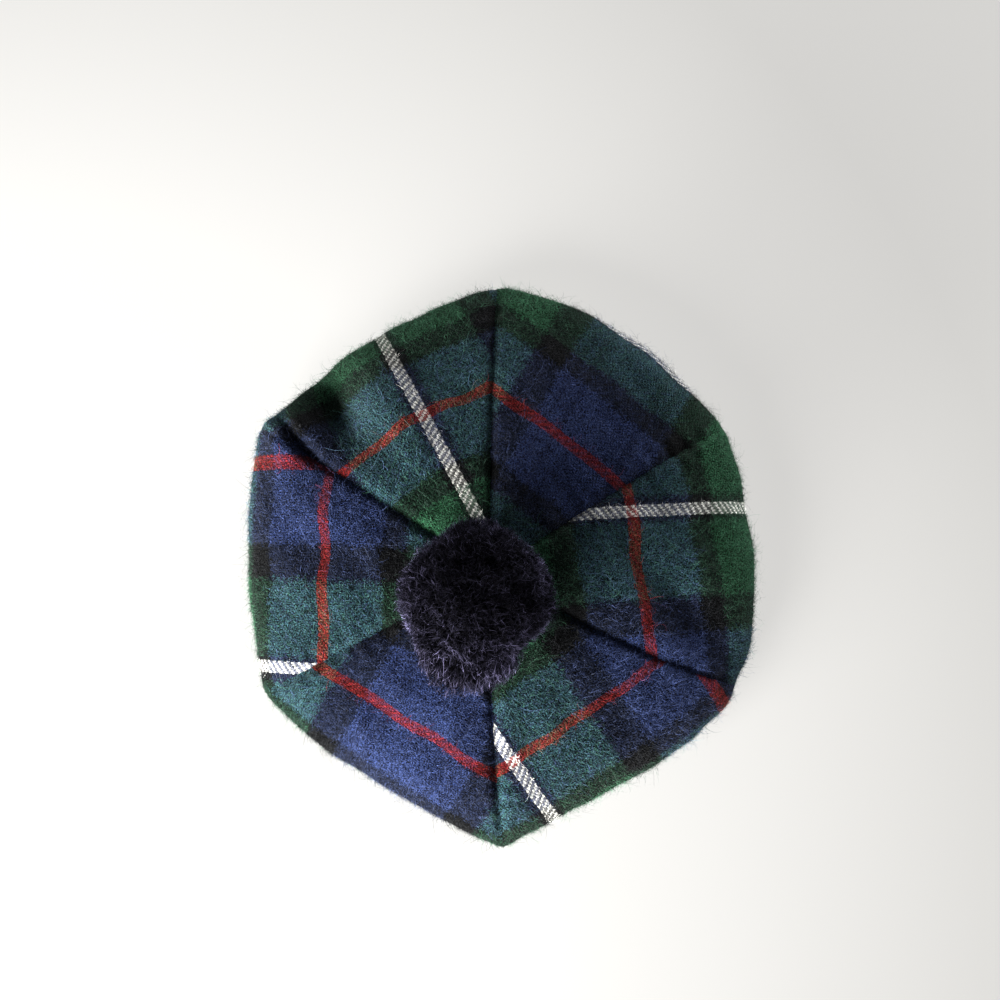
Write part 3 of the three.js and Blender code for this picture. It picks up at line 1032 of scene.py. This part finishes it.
class CAP_OT_pompom(bpy.types.Operator):
    """Makes the pompom: a dense core and the cut yarn ends that splay over it"""

    bl_idname = "cap.pompom"
    bl_label = "Pompom"

    def execute(self, context):
        settings = context.scene.cap_pompom
        material = new_material("cut_wool_yarn", cut_yarn, settings.colour)
        rows, columns = 49, 97
        from_poles = np.linspace(0.02, math.pi - 0.02, rows)
        up, turn = np.meshgrid(from_poles, np.linspace(0, math.tau, columns), indexing="ij")
        ways = around((0, 0), np.sin(up), turn, np.cos(up))
        core = ball_points(ways.reshape(-1, 3), np.full(rows * columns, CORE))
        faces = grid_faces(rows, columns)
        place = np.stack([turn / math.tau, up / math.pi], axis=-1).reshape(-1, 2)[faces]
        # The core is given Fibre (0, 0), the yarn's darkest painted shade, for the inside of the ball.
        maps = {"Fibre": np.zeros((faces.size, 2)), "OFBake": place.reshape(-1, 2)}
        piece = new_piece("pompom_core", core, faces, maps, material)
        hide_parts("pompom")

        draw = np.random.default_rng(7)
        count = settings.ends * settings.strands
        # Ends stand evenly over the ball, along a spiral of golden-angle steps.
        rank = np.arange(settings.ends) + 0.5
        height = 1 - 2 * rank / settings.ends
        turn = rank * math.pi * (3 - math.sqrt(5))
        spiral = around((0, 0), np.sqrt(1 - height**2), turn, height)
        end_ways = unit(spiral + draw.normal(0, ENDS["stray"], size=(settings.ends, 3)))
        tall = draw.normal(ENDS["reach"], ENDS["varies"], settings.ends)
        light = draw.random(settings.ends)
        splay = unit(draw.normal(size=(count, 3))) * draw.uniform(0, 1, count)[:, None]
        end_ways, tall, light = (
            np.repeat(value, settings.strands, axis=0) for value in (end_ways, tall, light)
        )
        curl = draw.normal(0, ENDS["curl"], (count, 3))
        hook = draw.normal(0, ENDS["hook"], (count, 3))
        tall = tall + draw.normal(0, ENDS["strand_varies"], count)
        top = np.clip(tall, ENDS["least"], ENDS["most"])
        shares = (np.full(count, CORE - 0.04), mix(CORE, top, 0.5), mix(CORE, top, 0.85), top)
        bends = (0, 0, curl, curl + hook)
        spines = [
            ball_points(unit(end_ways + (splay * wide + bend)), share)
            for wide, bend, share in zip(ENDS["splay"], bends, shares)
        ]
        across = unit(np.cross(end_ways, draw.normal(size=(count, 3))))
        width = settings.width / MM * draw.uniform(0.6, 1.3, count)
        points, faces, atlas, along = fibre_mesh(np.stack(spines, axis=1), across, width)
        # On top the ends get painted shade, darker the more they face up, and round the sides they stay
        # brighter; each end and strand also gets a random painted brightness.
        facing_up = np.clip(end_ways[:, 2], 0, 1)
        painted_brightness = (0.5 * light + 0.5 * draw.random(count)) * (1 - TOP_PAINTED_SHADE * facing_up)
        own = np.stack([np.repeat(painted_brightness, len(along) // count), along], axis=-1)
        maps = {"Fibre": own, "OFBake": atlas}
        new_piece("pompom_strands", points, faces, maps, material, smooth=False)
        return {"FINISHED"}


class CAP_OT_tie(bpy.types.Operator):
    """Twists the yarn that holds the pompom, with its coil under the crown"""

    bl_idname = "cap.tie"
    bl_label = "Tie"

    def execute(self, context):
        settings = context.scene.cap_pompom
        middle = (TIE_LOW + TIE_HIGH) / 2
        wide = (TIE_HIGH[0] - TIE_LOW[0]) / 2
        parts = []
        for ply in range(3):
            up = np.linspace(TIE_LOW[2] + PLY, TIE_HIGH[2] - PLY / 2, 24)
            turn = math.tau * (ply / 3 + (up - up[0]) / TWIST)
            parts.append(tube(around(middle, PLY, turn, up), PLY, 10))
        turn = np.linspace(0, 2 * math.tau, 64)
        coil_up = TIE_LOW[2] + PLY + 2 * PLY * turn / math.tau * 0.5
        parts.append(tube(around(middle, wide - PLY, turn, coil_up), PLY, 10))
        points, faces = joined(parts)
        # The tie is given one fixed level of the yarn's painted brightness.
        maps = {"Fibre": np.tile([0.8, 0.8], (faces.size, 1))}
        material = new_material("twisted_wool_yarn", cut_yarn, settings.colour)
        piece = new_piece("tie_yarn", points, faces, maps, material)
        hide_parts("pompom_tie")
        return {"FINISHED"}


class CAP_OT_band(bpy.types.Operator):
    """Folds the headband double and stitches it"""

    bl_idname = "cap.band"
    bl_label = "Headband"

    def execute(self, context):
        settings = context.scene.cap_band
        layer = BAND_THICK / 2 - BAND_SLIT
        middle = BAND_OUTER - BAND_THICK / 2
        half_wide = BAND_THICK / 2
        bends = np.linspace(0, math.pi, 13)
        heights = np.linspace(half_wide, BAND_HEIGHT, 9)
        outside = [(half_wide, up) for up in heights[::-1]]
        outside += [(half_wide * math.cos(b), half_wide * (1 - math.sin(b))) for b in bends[1:-1]]
        outside += [(-half_wide, up) for up in heights]
        slit = half_wide - layer
        inside = [(-slit, up) for up in heights[::-1]]
        inside += [(-slit * math.cos(b), half_wide - slit * math.sin(b)) for b in bends[1:-1]]
        inside += [(slit, up) for up in heights]
        profile = np.array(outside + inside)

        columns = 240
        turn = np.arange(columns) / columns * math.tau
        # The strip's ends are sewn together at the back, where the band is drawn in a little.
        from_seam = np.abs(turn - QUARTER_TURN) * middle
        ripple = np.sin(turn * BAND_RIPPLE["fast"]) * np.sin(turn * BAND_RIPPLE["slow"] + 1)
        drawn_in = BAND_SEAM["depth"] * bell(from_seam, BAND_SEAM["width"])
        wave = -BAND_RIPPLE["rise"] + BAND_RIPPLE["rise"] * ripple - drawn_in
        squeeze = 1 + wave[:, None] / half_wide * np.abs(profile[:, 0]) / half_wide
        out = middle + profile[:, 0] * squeeze
        points = around(BAND_CENTRE, out, turn[:, None], BAND_LOW[2] + profile[:, 1])
        points = points.reshape(-1, 3)
        rings = len(profile)
        column, row = np.meshgrid(np.arange(columns), np.arange(rings), indexing="ij")
        next_column, next_row = (column + 1) % columns, (row + 1) % rings
        corners = ((column, row), (column, next_row), (next_column, next_row), (next_column, row))
        faces = np.stack([over * rings + up for over, up in corners], axis=-1).reshape(-1, 4)
        lengths = np.linalg.norm(np.diff(profile, axis=0, append=profile[:1]), axis=-1)
        start = np.concatenate([[0], np.cumsum(lengths)])
        spacing = settings.end_spacing / MM
        arc = math.tau * middle / columns
        ways = np.stack([column, column, column + 1, column + 1], axis=-1).reshape(-1, 4)
        ups = np.stack([row, row + 1, row + 1, row], axis=-1).reshape(-1, 4)
        threads = np.stack([ways * arc / spacing, start[ups] / spacing], axis=-1)
        bake = np.stack([ways / columns, start[ups] / start[-1]], axis=-1)
        maps = {"Threads": threads.reshape(-1, 2), "OFBake": bake.reshape(-1, 2)}
        material = new_material("firm_wool_twill", firm_twill, settings.colour)
        band = new_piece("band_cloth", points, faces, maps, material)
        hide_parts("headband")

        count = round(math.tau * BAND_OUTER / (settings.stitch / MM * STITCH["pitch"]))
        half = settings.stitch / MM / BAND_OUTER / 2
        along = np.linspace(-1, 1, 7)
        out = BAND_OUTER - STITCH["sunk"] + STITCH["rise"] * np.cos(along * QUARTER_TURN)
        up = BAND_LOW[2] + STITCH["up"]
        middles = math.tau * (np.arange(count) + 0.5) / count
        spines = [around(BAND_CENTRE, out, at + half * along, up) for at in middles]
        points, faces = joined([tube(spine, STITCH["radius"], 6) for spine in spines])
        material = new_material("spun_polyester_thread", sewing_thread, settings.thread)
        stitches = new_piece("band_stitches", points, faces, {}, material)
        return {"FINISHED"}


def area_light(name, watts, away, size):
    """An area light that faces the cap from the direction away, as wide and tall as size."""
    light = bpy.data.lights.new(name, "AREA")
    light.energy = watts
    light.shape = "RECTANGLE"
    light.size, light.size_y = size
    lamp = bpy.data.objects.new(name, light)
    lamp.location = away * LAMP_DISTANCE + Vector((0, 0, LAMP_TARGET))
    lamp.rotation_euler = away.to_track_quat("Z", "Y").to_euler()
    bpy.context.scene.collection.objects.link(lamp)
    return light


class CAP_OT_stage(bpy.types.Operator):
    """Lays the lit sheet under the cap and sets the lights and the camera"""

    bl_idname = "cap.stage"
    bl_label = "Stage"

    def execute(self, context):
        settings = context.scene.cap_stage
        mesh = bpy.data.meshes.new("floor")
        signs = ((-1, -1), (1, -1), (1, 1), (-1, 1))
        corners = [(x * FLOOR_HALF, y * FLOOR_HALF, 0) for x, y in signs]
        mesh.from_pydata(corners, [], [(0, 1, 2, 3)])
        sheet = new_material("opal_acrylic", opal_acrylic, settings.floor, settings.glow)
        mesh.materials.append(sheet)
        floor = bpy.data.objects.new("floor", mesh)
        context.scene.collection.objects.link(floor)

        level, up = math.cos(settings.key_height), math.sin(settings.key_height)
        key_way = Vector(around((0, 0), level, settings.key_bearing, up))
        key = area_light("key", settings.key, key_way, (0.8, 0.8))
        key.color = (1.0, 0.985, 0.96)
        area_light("fill", settings.fill, Vector(FILL_WAY).normalized(), (2.0, 0.15))

        world = bpy.data.worlds.new("studio")
        world.use_nodes = True
        background = world.node_tree.nodes["Background"]
        background.inputs["Color"].default_value = (1, 1, 1, 1)
        background.inputs["Strength"].default_value = settings.ambient
        context.scene.world = world

        lens = bpy.data.cameras.new("camera")
        camera = bpy.data.objects.new("camera", lens)
        elevation = math.radians(CAMERA_ELEVATION)
        back = Vector((0, -math.cos(elevation), math.sin(elevation)))
        camera.location = Vector(CAMERA_TARGET) + back * settings.distance
        camera.rotation_euler = (math.pi / 2 - elevation, 0, 0)
        lens.sensor_width = SENSOR_WIDTH
        lens.lens = SENSOR_WIDTH * settings.distance / VIEW_WIDTH
        context.scene.collection.objects.link(camera)
        context.scene.camera = camera
        context.scene.view_settings.view_transform = "Standard"
        context.scene.view_settings.gamma = 0.8  # deepens the darks, as a print does
        return {"FINISHED"}


class CAP_PT_panel(bpy.types.Panel):
    """Builds the cap piece by piece"""

    bl_idname = "CAP_PT_panel"
    bl_label = "Tam o' Shanter"
    bl_space_type = "VIEW_3D"
    bl_region_type = "UI"
    bl_category = "Cap"

    def draw(self, context):
        for group_name, _, operators in PANEL_ROWS:
            for operator in operators:
                self.layout.operator(operator)
            group = getattr(context.scene, group_name)
            for name in group.__annotations__:
                self.layout.prop(group, name)


PANEL_ROWS = (
    ("cap_crown", CrownSettings, ("cap.gores",)),
    ("cap_nap", NapSettings, ("cap.nap",)),
    ("cap_pompom", PompomSettings, ("cap.pompom", "cap.tie")),
    ("cap_band", BandSettings, ("cap.band",)),
    ("cap_stage", StageSettings, ("cap.stage",)),
)
CLASSES = (
    *(settings for _, settings, _ in PANEL_ROWS),
    CAP_OT_gores,
    CAP_OT_nap,
    CAP_OT_pompom,
    CAP_OT_tie,
    CAP_OT_band,
    CAP_OT_stage,
    CAP_PT_panel,
)


def register():
    for cls in CLASSES:
        bpy.utils.register_class(cls)
    for name, settings, _ in PANEL_ROWS:
        setattr(bpy.types.Scene, name, PointerProperty(type=settings))


def unregister():
    for name, _, _ in PANEL_ROWS:
        delattr(bpy.types.Scene, name)
    for cls in reversed(CLASSES):
        bpy.utils.unregister_class(cls)


def main():
    register()
    bpy.ops.cap.gores()
    bpy.ops.cap.nap()
    bpy.ops.cap.pompom()
    bpy.ops.cap.tie()
    bpy.ops.cap.band()
    bpy.ops.cap.stage()


if __name__ == "__main__":
    main()
